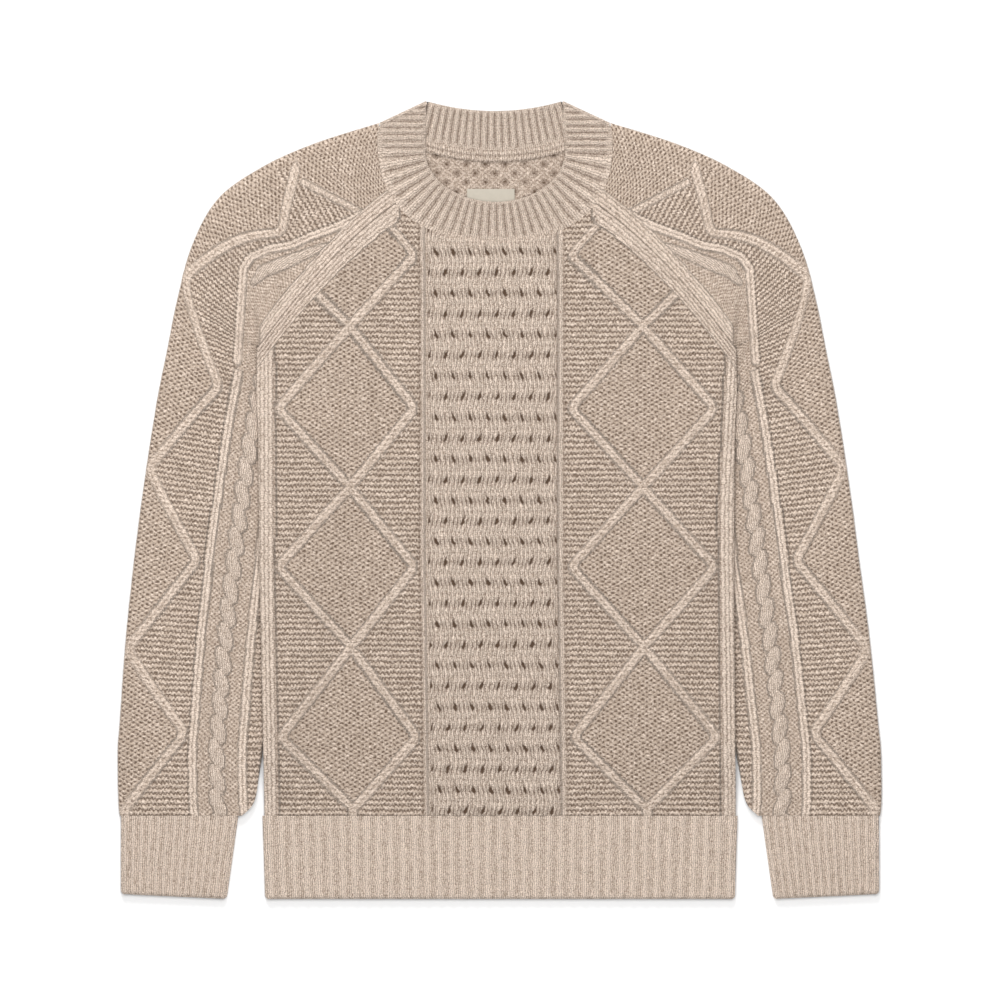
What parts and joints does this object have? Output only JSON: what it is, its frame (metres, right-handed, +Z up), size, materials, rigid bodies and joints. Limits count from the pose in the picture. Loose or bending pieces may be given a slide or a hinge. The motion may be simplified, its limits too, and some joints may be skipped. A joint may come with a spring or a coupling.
{
  "type": "cable knit sweater",
  "caption": "Cable knit sweater with raglan sleeves and a ribbed crew collar, laid flat with its front up.",
  "frame": {"origin": "middle of the garment's bounding box, on the surface that it lies on", "axes": "+Z up from the surface to the garment's front, +Y from the hem to the neck, +X to the right as seen from above"},
  "size_m": [0.6568, 0.6862, 0.0155],
  "materials": {
    "knit_body": "marled wool, cables, moss and garter stitch",
    "knit_sleeve": "marled wool, diamonds and rope cable",
    "knit_rib": "marled wool, one by one rib",
    "neck_tape": "linked chain of the same wool",
    "neck_label": "plain woven label, bare"
  },
  "bodies": {
    "root": {"back": "knit_body", "front": "knit_body", "sleeve_left": "knit_sleeve", "sleeve_right": "knit_sleeve", "hem_rib": "knit_rib", "cuff_left": "knit_rib", "cuff_right": "knit_rib", "collar": "knit_rib", "neck_tape": "neck_tape", "neck_label": "neck_label"}
  },
  "joints": []
}
